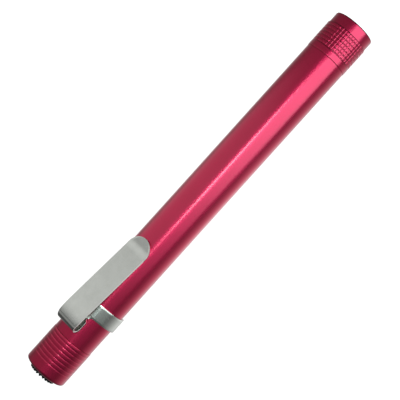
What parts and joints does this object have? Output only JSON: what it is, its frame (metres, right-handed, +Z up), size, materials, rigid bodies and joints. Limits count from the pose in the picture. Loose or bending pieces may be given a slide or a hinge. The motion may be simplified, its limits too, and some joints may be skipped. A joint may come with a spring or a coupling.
{
  "type": "penlight",
  "caption": "Slim anodised penlight with a knurled twist-off head, a grooved tail cap with a toothed push button, and a folded steel pocket clip on a split ring.",
  "frame": {"origin": "middle of the length, on the line that the light lies on, under its axis", "axes": "+X along the tube's axis towards the head, +Z up through the middle of the clip, +Y across"},
  "size_m": [0.1368, 0.0148, 0.0181],
  "materials": {
    "red_anodised_aluminium": "fine turned, red anodised, satin gloss",
    "plain_aluminium": "turned",
    "satin_steel": "satin rolled sheet with bright cut edges",
    "spring_steel": "drawn wire, plated",
    "black_plastic": "moulded, fine matt",
    "white_plastic": "moulded",
    "lead_plastic": "insulated wire",
    "board": "glass-fibre board",
    "black_rubber": "moulded",
    "brass": "turned",
    "cell_jacket": "printed film over steel, left plain",
    "clear_lens": "clear",
    "bright_reflector": "vacuum metallised",
    "led_silicone": "silicone over phosphor"
  },
  "bodies": {
    "barrel": {"barrel": "red_anodised_aluminium", "tail_oring": "black_rubber", "head_oring": "black_rubber", "cell_rear": "cell_jacket", "cell_front": "cell_jacket", "led": "led_silicone", "led_board": "board", "led_holder": "brass", "led_leads": "lead_plastic", "driver_board": "board", "front_contact": "brass"},
    "tail_spring": {"tail_spring": "spring_steel"},
    "tail_cap": {"tail_cap": "red_anodised_aluminium", "switch_housing": "black_plastic", "switch_base": "board", "earth_ring": "brass", "retaining_ring": "plain_aluminium", "tail_contact": "brass", "switch_spring": "spring_steel"},
    "button": {"tail_button": "black_plastic", "switch_plunger": "white_plastic"},
    "rotor": {"switch_rotor": "white_plastic", "contact_disc": "brass"},
    "clip": {"clip_ring": "satin_steel"},
    "clip_arm": {"clip_arm": "satin_steel"},
    "reflector": {"reflector": "bright_reflector"},
    "head": {"head": "red_anodised_aluminium", "lens": "clear_lens", "lens_oring": "black_rubber"}
  },
  "joints": [
    {"name": "tail_cap_advance", "type": "slide", "parent": "barrel", "child": "tail_spring", "axis": [-1, 0, 0], "range_m": [0, 0.0045]},
    {"name": "tail_cap_turn", "type": "hinge", "parent": "tail_spring", "child": "tail_cap", "pos_m": [-0.0608, 0, 0.00688], "axis": [-1, 0, 0], "range_deg": [0, 2162]},
    {"name": "button_press", "type": "slide", "parent": "tail_cap", "child": "button", "axis": [1, 0, 0], "range_m": [0, 0.0011], "stiffness_N_per_m": 2500, "deforming": ["switch_spring"]},
    {"name": "rotor_turn", "type": "hinge", "parent": "button", "child": "rotor", "pos_m": [-0.06035, 0, 0.00688], "axis": [1, 0, 0], "range_deg": [0, 46]},
    {"name": "clip_swivel", "type": "hinge", "parent": "barrel", "child": "clip", "pos_m": [-0.04295, 0, 0.00688], "axis": [1, 0, 0], "continuous": true},
    {"name": "clip_flex", "type": "hinge", "parent": "clip", "child": "clip_arm", "pos_m": [-0.05135, 0, 0.01587], "axis": [0, -1, 0], "range_deg": [0, 6], "stiffness_Nm_per_rad": 2.5},
    {"name": "head_advance", "type": "slide", "parent": "barrel", "child": "reflector", "axis": [1, 0, 0], "range_m": [0, 0.00375]},
    {"name": "head_turn", "type": "hinge", "parent": "reflector", "child": "head", "pos_m": [0.062, 0, 0.00688], "axis": [1, 0, 0], "range_deg": [0, 1802]}
  ],
  "couplings": [
    {"joint": "tail_cap_turn", "follows": "tail_cap_advance", "rad_per_m": 8377.6},
    {"joint": "head_turn", "follows": "head_advance", "rad_per_m": 8377.6},
    {"joint": "rotor_turn", "follows": "button_press", "rad_per_m": 714}
  ]
}
